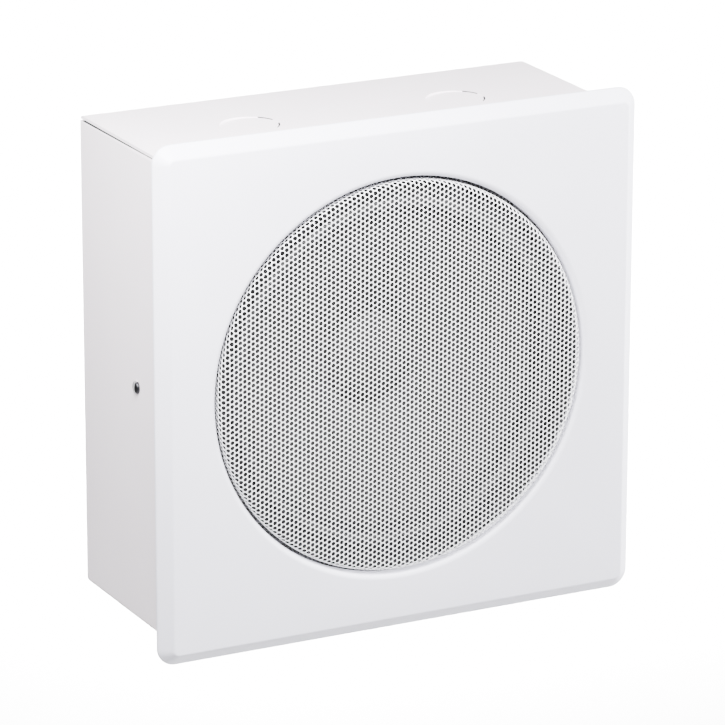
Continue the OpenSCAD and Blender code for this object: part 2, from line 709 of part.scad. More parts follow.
tinsel_end_s = cone_s(34) + 1.15 * cone_t + tinsel_d / 2;
tinsel_route = [
    [tag_x, tag_end_r + 0.1, tag_s + tag_t / 2], [tag_x, 68, 41], [tag_x, 70, 35.5],
    [6.5, 66, 31], [6.5, 54, 30], [6, 42, 33], [6, 35, 33.5], [6, 34, tinsel_end_s]
];
module tinsel_leads() color("goldenrod") behind_face() both_sides() wire(tinsel_route, tinsel_d);

// Line transformer on the back wall: laminated core, bobbin, coil and strap
core_window_w = core_w / 2 - 2 * core_leg;
core_front_y = inner_back_y - core_h;
bobbin_y = inner_back_y - core_leg - bobbin_gap;
bobbin_l = core_h - 2 * core_leg - 2 * bobbin_gap;
tube_w = 2 * (core_leg + bobbin_gap + bobbin_t);
tube_h = core_stack + 2 * (bobbin_gap + bobbin_t);
cheek_w = core_w - 2 * core_leg - 2 * bobbin_gap;
cheek_h = tube_h + 2 * coil_t + 0.4;
module at_transformer() translate([0, 0, -core_z]) children();

module transformer_core() color("dimgray") at_transformer() linear_extrude(core_stack, center = true) difference() {
    translate([-core_w / 2, core_front_y]) square([core_w, core_h]);
    both_sides() translate([core_leg, core_front_y + core_leg]) square([core_window_w, core_h - 2 * core_leg]);
}
module coil_ring(outer_w, outer_h, inner_w, inner_h, corner) difference() {
    polygon(rounded(outer_w, outer_h, corner));
    square([inner_w, inner_h], center = true);
}
module transformer_bobbin() color("ivory") at_transformer() {
    hole_w = 2 * (core_leg + bobbin_gap);
    hole_h = core_stack + 2 * bobbin_gap;
    towards_front(bobbin_y, bobbin_l) coil_ring(tube_w, tube_h, hole_w, hole_h, 0.4);
    towards_front(bobbin_y, bobbin_t) coil_ring(cheek_w, cheek_h, hole_w, hole_h, 1);
    towards_front(bobbin_y - bobbin_l + bobbin_t, bobbin_t) coil_ring(cheek_w, cheek_h, hole_w, hole_h, 1);
}
module transformer_coil() color("darkgoldenrod") at_transformer()
    towards_front(bobbin_y - bobbin_t, bobbin_l - 2 * bobbin_t)
        coil_ring(tube_w + 2 * coil_t, tube_h + 2 * coil_t, tube_w, tube_h, 3);

strap_foot = strap_hole_x / 2 + 5;
strap_line = [
    [-strap_foot, inner_back_y], [-core_w / 2, inner_back_y], [-core_w / 2, core_front_y],
    [core_w / 2, core_front_y], [core_w / 2, inner_back_y], [strap_foot, inner_back_y]
];
module transformer_strap() color("silver") at_transformer() difference() {
    linear_extrude(strap_w, center = true) polygon(sheet(strap_line, -strap_t));
    both_sides() translate([strap_hole_x / 2, 0, 0]) rotate([90, 0, 0])
        cylinder(d = back_stud_d + screw_room, h = core_h, $fn = hole_fn);
}

// Terminal block with its screws, on two studs
block_l = block_poles * block_pitch;
lug_x = (block_l + lug_l) / 2;
well_depth = 6;
entry_y = 5;
module at_block() translate([block_x, inner_back_y, block_z]) children();
module at_block_screws() for (i = [0 : block_poles - 1]) for (up = [-1, 1])
    translate([(i + 0.5) * block_pitch - block_l / 2, -block_h, up * block_w / 4]) rotate([90, 0, 0]) children();
module terminal_block() color("ivory") at_block() difference() {
    union() {
        translate([-block_l / 2, -block_h, -block_w / 2]) cube([block_l, block_h, block_w]);
        translate([-block_l / 2 - lug_l, -lug_h, -block_w / 4]) cube([block_l + 2 * lug_l, lug_h, block_w / 2]);
    }
    at_block_screws() translate([0, 0, -well_depth])
        cylinder(d = clamp_screw_d + screw_room, h = 2 * well_depth, $fn = hole_fn);
    for (i = [0 : block_poles - 1]) for (up = [-1, 1])
        translate([(i + 0.5) * block_pitch - block_l / 2, -entry_y, up * block_w / 2])
            cylinder(d = wire_d + 1.2, h = block_w / 2, center = true, $fn = hole_fn);
    both_sides() translate([lug_x, block_h, 0]) rotate([90, 0, 0])
        cylinder(d = back_stud_d + screw_room, h = 3 * block_h, $fn = hole_fn);
}
module terminal_screws() color("silver") at_block() at_block_screws() translate([0, 0, -well_depth]) difference() {
    cylinder(d = clamp_screw_d, h = well_depth / 2, $fn = hole_fn);
    translate([0, 0, well_depth / 2]) cube([2 * clamp_screw_d, clamp_screw_d / 5, clamp_screw_d / 3], center = true);
}

// Studs welded to the back wall, with their nuts, and the earth connection
back_stud_l = 9;
module from_back_wall(x, z, lift) translate([x, inner_back_y - lift, z]) rotate([90, 0, 0]) children();
module at_strap_studs(lift) both_sides() from_back_wall(strap_hole_x / 2, -core_z, lift) children();
module at_block_studs(lift) for (side = [-1, 1]) from_back_wall(block_x + side * lug_x, block_z, lift) children();
module back_studs() color("silver") {
    at_strap_studs(0) cylinder(d = back_stud_d, h = back_stud_l, $fn = hole_fn);
    at_block_studs(0) cylinder(d = back_stud_d, h = back_stud_l, $fn = hole_fn);
}
module back_nuts() color("silver") {
    at_strap_studs(strap_t) hex_nut(back_stud_d);
    at_block_studs(lug_h) hex_nut(back_stud_d);
}
washer_t = 1;
module earth_stud() color("gold") from_back_wall(-block_x, block_z, 0) cylinder(d = earth_d, h = earth_l, $fn = hole_fn);
module earth_washer() color("silver") from_back_wall(-block_x, block_z, 0) difference() {
    cylinder(d = 2 * earth_d, h = washer_t, $fn = hole_fn);
    translate([0, 0, -washer_t]) cylinder(d = earth_d + screw_room, h = 3 * washer_t, $fn = hole_fn);
}
module earth_nut() color("gold") from_back_wall(-block_x, block_z, washer_t) hex_nut(earth_d);

// Insulated wires: from the terminal block to the transformer, and on to the tag strip
block_wire_x = block_x - block_l / 2 + block_pitch / 2;
coil_top_z = -core_z + tube_h / 2 + coil_t;
line_route = [
    [block_wire_x, inner_back_y - entry_y, block_z - block_w / 2 + 2],
    [block_wire_x, inner_back_y - entry_y, block_z - block_w / 2 - 3],
    [38, -4, 50], [30, -4, 20], [20, -4, -20], [11, -6, -46],
    [8, -13, -57], [8, -14, coil_top_z + 0.3]
];
tag_back_y = tag_s + tag_t - overall_d;
tag_z = -(strip_r + (strip_w + tag_out) / 2);
coil_exit_y = max(tag_back_y + 27, -30);
speaker_route = [
    [5, coil_exit_y, coil_top_z + 0.3], [5, coil_exit_y - 1, coil_top_z + 3],
    [6, tag_back_y + 19, tag_z + 1.8], [tag_x, tag_back_y + 9, tag_z + 0.8],
    [tag_x, tag_back_y + 2, tag_z], [tag_x, tag_back_y + 0.2, tag_z]
];
second_line_wire = [for (i = [0 : len(line_route) - 1]) line_route[i] + [i < 2 ? block_pitch : wire_d + 0.6, 0, 0]];
module line_wires() color("white") {
    wire(line_route, wire_d);
    wire(second_line_wire, wire_d);
}
module speaker_wires() color("firebrick") both_sides() wire(speaker_route, wire_d);

back_box();
front_panel();
grille();
panel_bracket_left();
panel_bracket_right();
clinch_nuts();
side_screw_left();
side_screw_right();
driver_studs();
clamp_upper_left();
clamp_upper_right();
clamp_lower_left();
clamp_lower_right();
driver_nuts();
driver_gasket();
basket();
surround();
cone();
dust_cap();
spider();
voice_coil_former();
voice_coil_winding();
top_plate();
magnet();
yoke();
tag_strip();
solder_tags();
tinsel_leads();
transformer_core();
transformer_bobbin();
transformer_coil();
transformer_strap();
terminal_block();
terminal_screws();
back_studs();
back_nuts();
earth_stud();
earth_washer();
earth_nut();
line_wires();
speaker_wires();
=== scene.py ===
"""Looks of a white wall cabinet loudspeaker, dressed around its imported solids."""

import logging
import math
from collections.abc import Callable, Iterable, Sequence
from dataclasses import dataclass, field
from enum import Enum

import bmesh
import bpy
import numpy as np
from mathutils import Matrix, Vector


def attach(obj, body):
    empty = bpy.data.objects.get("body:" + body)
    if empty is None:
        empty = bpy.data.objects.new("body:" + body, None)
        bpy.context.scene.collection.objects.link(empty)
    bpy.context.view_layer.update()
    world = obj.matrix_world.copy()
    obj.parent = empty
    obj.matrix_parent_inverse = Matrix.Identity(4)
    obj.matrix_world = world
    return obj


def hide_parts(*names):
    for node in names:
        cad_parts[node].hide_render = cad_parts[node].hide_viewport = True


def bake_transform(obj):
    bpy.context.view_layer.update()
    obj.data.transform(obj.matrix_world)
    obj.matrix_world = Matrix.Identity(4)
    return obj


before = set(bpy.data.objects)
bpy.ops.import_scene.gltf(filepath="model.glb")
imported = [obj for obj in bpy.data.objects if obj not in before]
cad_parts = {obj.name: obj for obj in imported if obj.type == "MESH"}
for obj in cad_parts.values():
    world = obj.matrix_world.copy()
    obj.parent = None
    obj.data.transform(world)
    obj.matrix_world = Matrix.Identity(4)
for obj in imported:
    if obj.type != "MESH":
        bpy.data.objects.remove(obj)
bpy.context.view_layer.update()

log = logging.getLogger("wall_speaker")

# Metres in a millimetre
MM = 0.001
# Where the panel's face lies in mm, in front of the wall at 0
FACE_Y = -103.5
# Corners nearer than this are one, in mm
MERGE = 0.001

Point = tuple[float, float]
Place = tuple[float, float, float]
Material = bpy.types.Material
Node = bpy.types.Node
Object = bpy.types.Object
Socket = bpy.types.NodeSocket


class Body(Enum):
    """The two rigid bodies of the speaker."""

    CABINET = "cabinet"
    DIAPHRAGM = "diaphragm"


def linear(hex_colour: str) -> tuple[float, float, float, float]:
    """Turns an sRGB hex colour into the linear colour that a shader takes.

    Args:
        hex_colour: colour such as "#E8E9EB".

    Returns:
        Linear red, green, blue and an alpha of 1.
    """
    parts = [int(hex_colour[i:i + 2], 16) / 255 for i in (1, 3, 5)]
    red, green, blue = (p / 12.92 if p <= 0.04045 else ((p + 0.055) / 1.055) ** 2.4 for p in parts)
    return red, green, blue, 1.0


def add_node(
    material: Material,
    kind: str,
    inputs: dict[str | int, object] | None = None,
    links: dict[str | int, Socket] | None = None,
    **settings: object,
) -> Node:
    """Adds one shader node with its settings, socket values and links.

    Args:
        material: the material whose tree gets the node.
        kind: the node's type, such as "ShaderNodeTexNoise".
        inputs: socket values by the socket's name or number.
        links: output sockets to link, by the name or number of the socket they go into.
        **settings: attributes of the node itself.

    Returns:
        The new node.
    """
    tree = material.node_tree
    node = tree.nodes.new(kind)
    for name, value in settings.items():
        setattr(node, name, value)
    for name, value in (inputs or {}).items():
        node.inputs[name].default_value = value
    for name, socket in (links or {}).items():
        tree.links.new(socket, node.inputs[name])
    return node


def surface(
    name: str,
    colour: str,
    roughness: float,
    metallic: float = 0.0,
    ior: float = 1.5,
) -> tuple[Material, Node, Socket]:
    """Starts a material with its main shader and the object's own coordinates.

    Args:
        name: the material's name.
        colour: sRGB hex colour.
        roughness: main roughness.
        metallic: 1 for bare metal, 0 for anything else.
        ior: index of refraction.

    Returns:
        The material, its main shader, and the coordinates in metres.
    """
    material = bpy.data.materials.new(name)
    material.use_nodes = True
    material.node_tree.nodes.clear()
    shader = add_node(
        material,
        "ShaderNodeBsdfPrincipled",
        {"Base Color": linear(colour), "Roughness": roughness, "Metallic": metallic, "IOR": ior},
    )
    add_node(material, "ShaderNodeOutputMaterial", links={"Surface": shader.outputs["BSDF"]})
    place = add_node(material, "ShaderNodeTexCoord").outputs["Object"]
    return material, shader, place


def join(material: Material, source: Socket, node: Node, name: str) -> None:
    """Links a socket into the named input of a node."""
    material.node_tree.links.new(source, node.inputs[name])


def band(material: Material, value: Socket, low_mm: float, high_mm: float) -> Socket:
    """Masks a band across a piece.

    Args:
        material: the material whose tree gets the mask.
        value: a place or distance in metres.
        low_mm: where the band starts, in millimetres.
        high_mm: where it ends.

    Returns:
        A share of 1 in the band and 0 outside it.
    """
    middle, reach = (low_mm + high_mm) / 2 * MM, (high_mm - low_mm) / 2 * MM
    mask = add_node(material, "ShaderNodeMath", {1: middle, 2: reach}, {0: value}, operation="COMPARE")
    return mask.outputs[0]


def overlap(material: Material, first: Socket, *others: Socket) -> Socket:
    """Masks what several masks have in common.

    Args:
        material: the material whose tree gets the mask.
        first: one of the masks.
        *others: the rest of them.

    Returns:
        The share that lies in all of them.
    """
    for other in others:
        both = add_node(material, "ShaderNodeMath", links={0: first, 1: other}, operation="MULTIPLY")
        first = both.outputs[0]
    return first


@dataclass(frozen=True)
class PowderCoat:
    """Polyester powder coat, sprayed dry on sheet steel and baked.

    The melt leaves a fine orange peel: a satin sheen whose highlights break up
    softly, and a colour that is even but for a faint cloudiness. A subclass may
    paint shade into narrow seams and gaps as a dark colour.
    """

    name: str = "white_powder_coat"
    colour: str = "#EDECF8"
    cloud: str = "#E9E8F4"
    # Colour of the painted shade in seams and gaps
    painted_shade: str = "#161617"
    roughness: float = 0.46
    peel_mm: float = 1.6
    cloud_mm: float = 70.0
    relief_mm: float = 0.012

    def painted_shade_share(self, material: Material, axes: Node) -> Socket | None:
        """Gives the share of painted shade at a spot, or None for a piece without it."""
        return None

    def material(self) -> Material:
        """Builds the coat: a faint cloud, painted shade in the seams and the orange peel as bump.

        Returns:
            The coat's material.
        """
        material, shader, place = surface(self.name, self.colour, self.roughness)
        cloud = add_node(
            material, "ShaderNodeTexNoise",
            {"Scale": 1 / (self.cloud_mm * MM), "Detail": 2.0, "Roughness": 0.5}, {"Vector": place},
        )
        ramp = add_node(material, "ShaderNodeValToRGB", links={"Fac": cloud.outputs["Fac"]})
        ramp.color_ramp.elements[0].position = 0.35
        ramp.color_ramp.elements[0].color = linear(self.cloud)
        ramp.color_ramp.elements[1].position = 0.65
        ramp.color_ramp.elements[1].color = linear(self.colour)
        colour = ramp.outputs["Color"]
        axes = add_node(material, "ShaderNodeSeparateXYZ", links={"Vector": place})
        # Painted shade: a dark colour mixed over the coat where the subclass asks for it
        share = self.painted_shade_share(material, axes)
        if share:
            colour = add_node(material, "ShaderNodeMixRGB", {"Color2": linear(self.painted_shade)},
                              {"Fac": share, "Color1": colour}).outputs["Color"]
        join(material, colour, shader, "Base Color")
        peel = add_node(
            material, "ShaderNodeTexNoise",
            {"Scale": 1 / (self.peel_mm * MM), "Detail": 1.5, "Roughness": 0.45}, {"Vector": place},
        )
        bump = add_node(
            material, "ShaderNodeBump",
            {"Strength": 0.35, "Distance": self.relief_mm * MM}, {"Height": peel.outputs["Fac"]},
        )
        join(material, bump.outputs["Normal"], shader, "Normal")
        return material


@dataclass(frozen=True)
class GrilleCoat(PowderCoat):
    """The coat of the grille's pan, darkened with painted shade towards the foot of its wall.

    The painted shade draws the fine dark line round the grille, beside the panel's opening.
    """

    name: str = "grille_powder_coat"
    colour: str = "#FBFBFF"
    cloud: str = "#F8F8FC"
    # Painted shade in the gap round the grille, and where it starts and is full behind the face
    painted_shade: str = "#464648"
    white_to_mm: float = 3.2
    dark_from_mm: float = 5.6

    def painted_shade_share(self, material: Material, axes: Node) -> Socket | None:
        """Fades the coat into painted shade with the depth behind the face.

        Args:
            material: the coat's material.
            axes: the spot's coordinates, one by one.

        Returns:
            The share of painted shade.
        """
        return add_node(
            material, "ShaderNodeMapRange",
            {"From Min": (FACE_Y + self.white_to_mm) * MM, "From Max": (FACE_Y + self.dark_from_mm) * MM},
            {"Value": axes.outputs["Y"]},
        ).outputs["Result"]


@dataclass(frozen=True)
class BoxCoat(PowderCoat):
    """The coat of the folded box, tinted a trace warmer than the panel's as painted warm light.

    It paints shade as a dark colour into the seam under the top sheet's edge, wider
    at the back, and into the fine slits on both sides of a knock-out's tie.
    """

    name: str = "box_powder_coat"
    # A warm tint, painted light that stands in for warmer light on the box's sides
    colour: str = "#F5ECF3"
    cloud: str = "#F1E8EF"
    side_mm: float = 117.05
    top_underside_mm: float = 114.5
    # The painted shade of the seam reaches in from the side, and its floor rises by the slope towards the
    # front
    seam_reach_mm: float = 8.0
    seam_floor_mm: float = 113.585
    seam_slope: float = 0.00598
    seam_under_mm: float = 0.15
    seam_over_mm: float = 3.85
    seam_tall_mm: float = 1.88
    seam_step_mm: float = 0.12
    seam_back_mm: float = -2.5
    # The slits of painted shade lie on a disc's edge, through the top sheet, on both sides of its tie
    disc_x_mm: float = 54.0
    disc_y_mm: float = -51.0
    disc_r_mm: float = 14.0
    slit_half_mm: float = 0.4
    slit_tall_mm: float = 1.52
    slit_across_mm: float = 4.6
    slit_from_mm: float = 3.1
    slit_to_mm: float = 12.9

    def seam_shade_share(self, material: Material, axes: Node) -> Socket:
        """Paints shade into the seams under the top sheet's edges.

        Args:
            material: the coat's material.
            axes: the spot's coordinates, one by one.

        Returns:
            The share of painted shade in the seams.
        """
        x, y, z = (axes.outputs[axis] for axis in "XYZ")
        side = add_node(material, "ShaderNodeMath", links={0: x}, operation="ABSOLUTE")
        level = add_node(
            material, "ShaderNodeMath", {1: self.seam_slope}, {0: y, 2: z}, operation="MULTIPLY_ADD"
        )
        floor, top = self.seam_floor_mm, self.top_underside_mm
        return overlap(
            material,
            band(material, side.outputs[0], self.side_mm - self.seam_reach_mm, self.side_mm),
            band(material, level.outputs[0], floor - self.seam_under_mm, floor + self.seam_over_mm),
            band(material, z, top - self.seam_tall_mm, top + self.seam_step_mm),
            band(material, y, FACE_Y, self.seam_back_mm),
        )

    def slit_shade_share(self, material: Material, axes: Node) -> Socket:
        """Paints shade into the slits beside the tie at each knock-out's right-hand edge.

        Args:
            material: the coat's material.
            axes: the spot's coordinates, one by one.

        Returns:
            The share of painted shade in the slits.
        """
        x, y, z = (axes.outputs[axis] for axis in "XYZ")
        side = add_node(material, "ShaderNodeMath", links={0: x}, operation="SIGN").outputs[0]
        across = add_node(
            material, "ShaderNodeMath", {1: -self.disc_x_mm * MM}, {0: side, 2: x}, operation="MULTIPLY_ADD"
        ).outputs[0]
        along = add_node(
            material, "ShaderNodeMath", {1: self.disc_y_mm * MM}, {0: y}, operation="SUBTRACT"
        ).outputs[0]
        spot = add_node(material, "ShaderNodeCombineXYZ", links={"X": across, "Y": along})
        radius = add_node(material, "ShaderNodeVectorMath", links={0: spot.outputs[0]}, operation="LENGTH")
        away = add_node(material, "ShaderNodeMath", links={0: along}, operation="ABSOLUTE")
        edge, top = self.disc_r_mm, self.top_underside_mm
        return overlap(
            material,
            band(material, radius.outputs["Value"], edge - self.slit_half_mm, edge + self.slit_half_mm),
            band(material, z, top - self.slit_tall_mm, top + self.slit_tall_mm),
            band(material, across, edge - self.slit_across_mm, edge + self.slit_across_mm),
            band(material, away.outputs[0], self.slit_from_mm, self.slit_to_mm),
        )

    def painted_shade_share(self, material: Material, axes: Node) -> Socket | None:
        """Finds the painted shade in the seams and in the slits.

        Args:
            material: the coat's material.
            axes: the spot's coordinates, one by one.

        Returns:
            The share of painted shade.
        """
        shares = {0: self.seam_shade_share(material, axes), 1: self.slit_shade_share(material, axes)}
        return add_node(material, "ShaderNodeMath", links=shares, operation="MAXIMUM").outputs[0]


@dataclass(frozen=True)
class ScrewWithPaintedLight:
    """Zinc-plated screw head, with painted shade on the lobe towards the panel and a painted highlight in
    its slot.

    The painted highlight makes a light line between two dark lobes.
    """

    name: str = "screw_zinc_painted_shade_and_highlight"
    colour: str = "#8E8F92"
    # Painted shade on the lobe towards the panel, and a painted highlight along the slot
    lobe_shade_colour: str = "#3A3A3D"
    slot_highlight: str = "#F4F4F6"
    roughness: float = 0.42
    slot_y_mm: float = -61.0
    slot_half_mm: float = 0.8
    shaded_lobe_mm: float = 20.0

    def material(self) -> Material:
        """Builds the dull plate, with painted shade on the panel's side and a painted highlight in its slot.

        Returns:
            The screws' material.
        """
        material, shader, place = surface(self.name, self.colour, self.roughness, metallic=1.0)
        y = add_node(material, "ShaderNodeSeparateXYZ", links={"Vector": place}).outputs["Y"]
        # Painted shade over the head's half towards the panel, and a painted highlight in the slot
        shaded_lobe = band(material, y, self.slot_y_mm - self.shaded_lobe_mm, self.slot_y_mm)
        slot_highlight = band(material, y, self.slot_y_mm - self.slot_half_mm, self.slot_y_mm + self.slot_half_mm)
        lobes = add_node(
            material, "ShaderNodeMixRGB", {"Color1": linear(self.colour), "Color2": linear(self.lobe_shade_colour)},
            {"Fac": shaded_lobe},
        )
        mix = add_node(
            material, "ShaderNodeMixRGB", {"Color2": linear(self.slot_highlight)},
            {"Fac": slot_highlight, "Color1": lobes.outputs["Color"]},
        )
        join(material, mix.outputs["Color"], shader, "Base Color")
        return material


@dataclass(frozen=True)
class ZincPlate:
    """Bright zinc on small steel hardware, barrel plated.

    It gives a soft bluish metal shine with cloudy spangle and faint drawing
    marks from the tools.
    """

    name: str = "zinc_plate"
    colour: str = "#B9BCBE"
    dull: str = "#9EA09F"
    roughness: float = 0.34
    smoother: float = 0.06
    rougher: float = 0.12
    spangle_mm: float = 2.2

    def material(self) -> Material:
        """Builds the plate: spangle in colour and roughness.

        Returns:
            The plate's material.
        """
        material, shader, place = surface(self.name, self.colour, self.roughness, metallic=1.0)
        spangle = add_node(
            material, "ShaderNodeTexNoise",
            {"Scale": 1 / (self.spangle_mm * MM), "Detail": 3.0}, {"Vector": place},
        )
        ramp = add_node(material, "ShaderNodeValToRGB", links={"Fac": spangle.outputs["Fac"]})
        ramp.color_ramp.elements[0].color = linear(self.dull)
        ramp.color_ramp.elements[1].color = linear(self.colour)
        join(material, ramp.outputs["Color"], shader, "Base Color")
        wear = add_node(
            material, "ShaderNodeMapRange",
            {"To Min": self.roughness - self.smoother, "To Max": self.roughness + self.rougher},
            {"Value": spangle.outputs["Fac"]},
        )
        join(material, wear.outputs["Result"], shader, "Roughness")
        return material


@dataclass(frozen=True)
class BareMetal:
    """Brass or copper, left bare.

    The metal's own colour tarnishes a little in clouds a few millimetres wide.
    """

    name: str
    colour: str
    tarnish: str
    roughness: float = 0.35
    cloud_mm: float = 3.0

    def material(self) -> Material:
        """Builds the metal with its tarnish.

        Returns:
            The metal's material.
        """
        material, shader, place = surface(self.name, self.colour, self.roughness, metallic=1.0)
        cloud = add_node(
            material, "ShaderNodeTexNoise",
            {"Scale": 1 / (self.cloud_mm * MM), "Detail": 4.0}, {"Vector": place},
        )
        ramp = add_node(material, "ShaderNodeValToRGB", links={"Fac": cloud.outputs["Fac"]})
        ramp.color_ramp.elements[0].color = linear(self.tarnish)
        ramp.color_ramp.elements[1].color = linear(self.colour)
        join(material, ramp.outputs["Color"], shader, "Base Color")
        return material


@dataclass(frozen=True)
class Laminations:
    """Silicon-steel laminations, stamped, stacked and varnished.

    Each sheet's edge catches the light as a thin line, half a millimetre apart.
    """

    name: str = "silicon_steel_laminations"
    colour: str = "#5C5D61"
    gap: str = "#26262A"
    roughness: float = 0.42
    metallic: float = 0.8
    sheet_mm: float = 0.5
    # The wave texture turns through this many radians in a unit, at a scale of 1
    texture_turn: float = 20.0

    def material(self) -> Material:
        """Builds the stack's lines along Z.

        Returns:
            The stack's material.
        """
        material, shader, place = surface(self.name, self.colour, self.roughness, self.metallic)
        scale = 2 * math.pi / (self.texture_turn * self.sheet_mm * MM)
        lines = add_node(
            material, "ShaderNodeTexWave", {"Scale": scale, "Distortion": 0.3, "Detail": 1.0},
            {"Vector": place}, bands_direction="Z",
        )
        ramp = add_node(material, "ShaderNodeValToRGB", links={"Fac": lines.outputs["Fac"]})
        ramp.color_ramp.elements[0].color = linear(self.gap)
        ramp.color_ramp.elements[1].color = linear(self.colour)
        join(material, ramp.outputs["Color"], shader, "Base Color")
        return material


@dataclass(frozen=True)
class Fibrous:
    """Paper pulp, treated cloth, foam or ferrite: a matt body with a fine grain.

    The grain, pulp fibres, weave or pores a fraction of a millimetre wide, only
    shows as a slight mottling and kills any clear highlight.
    """

    name: str
    colour: str
    fleck: str
    roughness: float = 0.85
    grain_mm: float = 0.5
    relief_mm: float = 0.05

    def material(self) -> Material:
        """Builds the mottled colour and the grain as bump.

        Returns:
            The material.
        """
        material, shader, place = surface(self.name, self.colour, self.roughness)
        grain = add_node(
            material, "ShaderNodeTexNoise",
            {"Scale": 1 / (self.grain_mm * MM), "Detail": 5.0, "Roughness": 0.65}, {"Vector": place},
        )
        ramp = add_node(material, "ShaderNodeValToRGB", links={"Fac": grain.outputs["Fac"]})
        ramp.color_ramp.elements[0].position = 0.38
        ramp.color_ramp.elements[0].color = linear(self.colour)
        ramp.color_ramp.elements[1].position = 0.75
        ramp.color_ramp.elements[1].color = linear(self.fleck)
        join(material, ramp.outputs["Color"], shader, "Base Color")
        bump = add_node(
            material, "ShaderNodeBump",
            {"Strength": 0.5, "Distance": self.relief_mm * MM}, {"Height": grain.outputs["Fac"]},
        )
        join(material, bump.outputs["Normal"], shader, "Normal")
        return material


@dataclass(frozen=True)
class Moulded:
    """Moulded plastic or the skin of a wire, from a fine-textured tool.

    It is even in colour, with a soft sheen that the tool's texture spreads.
    """

    name: str
    colour: str
    roughness: float = 0.45
    texture_mm: float = 0.4
    ior: float = 1.49
    relief_mm: float = 0.01

    def material(self) -> Material:
        """Builds the plastic with the tool's texture as bump.

        Returns:
            The plastic's material.
        """
        material, shader, place = surface(self.name, self.colour, self.roughness, ior=self.ior)
        texture = add_node(
            material, "ShaderNodeTexNoise",
            {"Scale": 1 / (self.texture_mm * MM), "Detail": 2.0}, {"Vector": place},
        )
        bump = add_node(
            material, "ShaderNodeBump", {"Strength": 0.2, "Distance": self.relief_mm * MM},
            {"Height": texture.outputs["Fac"]},
        )
        join(material, bump.outputs["Normal"], shader, "Normal")
        return material


def arc(centre: Point, radius: float, start: float, end: float, steps: int) -> list[Point]:
    """Lists points along an arc.

    Args:
        centre: the arc's centre.
        radius: the arc's radius.
        start: first angle in degrees.
        end: last angle in degrees.
        steps: number of steps between them.

    Returns:
        The points, first and last included.
    """
    angles = [math.radians(start + (end - start) * i / steps) for i in range(steps + 1)]
    return [(centre[0] + radius * math.cos(a), centre[1] + radius * math.sin(a)) for a in angles]


def offset(path: Sequence[Point], thickness: float) -> list[Point]:
    """Moves a path sideways by a sheet's thickness, to the left of travel.

    Args:
        path: points in order.
        thickness: distance, negative for the right-hand side.

    Returns:
        The moved points, in the same order.
    """
    moved = []
    for i, point in enumerate(path):
        sides = []
        for a, b in ((i - 1, i), (i, i + 1)):
            if a >= 0 and b < len(path):
                step = Vector(path[b]) - Vector(path[a])
                sides.append(Vector((-step.y, step.x)).normalized())
        side = sides[0] if len(sides) == 1 else (sides[0] + sides[1]) / (1 + sides[0].dot(sides[1]))
        moved.append((point[0] + thickness * side.x, point[1] + thickness * side.y))
    return moved


def sheet_profile(path: Sequence[Point], thickness: float) -> list[Point]:
    """Closes a path and its moved copy into the outline of a sheet."""
    return list(path) + offset(path, thickness)[::-1]


def behind_face(x: float, z: float, depth: float) -> Place:
    """Gives a point in metres from millimetres across, up and behind the panel's face."""
    return x * MM, (FACE_Y + depth) * MM, z * MM


def make_piece(
    name: str,
    points: Iterable[Sequence[float]],
    faces: Iterable[Sequence[int]],
    finish: Material,
    sharp_deg: float = 35.0,
) -> Object:
    """Makes a mesh piece with smooth faces and sharp creases.

    Args:
        name: the piece's name.
        points: corners in metres.
        faces: corner numbers of each face.
        finish: its material.
        sharp_deg: creases above this angle stay sharp.

    Returns:
        The new object.
    """
    mesh = bpy.data.meshes.new(name)
    mesh.from_pydata([tuple(p) for p in points], [], [tuple(f) for f in faces])
    mesh.validate()
    work = bmesh.new()
    work.from_mesh(mesh)
    bmesh.ops.remove_doubles(work, verts=work.verts, dist=MERGE * MM)
    bmesh.ops.recalc_face_normals(work, faces=work.faces)
    work.to_mesh(mesh)
    work.free()
    mesh.polygons.foreach_set("use_smooth", [True] * len(mesh.polygons))
    mesh.set_sharp_from_angle(angle=math.radians(sharp_deg))
    mesh.materials.append(finish)
    piece = bpy.data.objects.new(name, mesh)
    bpy.context.scene.collection.objects.link(piece)
    return piece


def settle(piece: Object, body: Body | None, slot: str, *nodes: str) -> None:
    """Puts a piece on its body, hides the solids that it stands for and logs them.

    Args:
        piece: the piece.
        body: the body it rides on, or None where it bends between both.
        slot: not used.
        *nodes: the solids that it replaces.
    """
    if body:
        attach(piece, body.value)
    if nodes:
        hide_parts(*nodes)
    log.info("%s: %d faces, stands for %s", piece.name, len(piece.data.polygons), nodes or "no solid")


def lathe(name: str, outline: Sequence[Point], finish: Material, steps: int = 160) -> Object:
    """Turns a closed outline of radius and depth around the speaker's axis.

    Args:
        name: the piece's name.
        outline: closed outline as radius and depth behind the panel's face, in mm.
        finish: its material.
        steps: steps around.

    Returns:
        The new object.
    """
    count = len(outline)
    points = []
    for k in range(steps):
        turn = 2 * math.pi * k / steps
        points += [behind_face(r * math.cos(turn), r * math.sin(turn), s) for r, s in outline]
    faces = []
    for k in range(steps):
        here, there = k * count, (k + 1) % steps * count
        for i in range(count):
            n = (i + 1) % count
            faces.append((here + i, here + n, there + n, there + i))
    return make_piece(name, points, faces, finish)


def dress(finish: Material, *nodes: str) -> None:
    """Gives solids that stay as they are their finish.

    Args:
        finish: the finish's material.
        *nodes: the solids.
    """
    for name in nodes:
        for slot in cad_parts[name].material_slots:
            slot.material = finish
        log.info("%s: dressed in %s", name, finish.name)


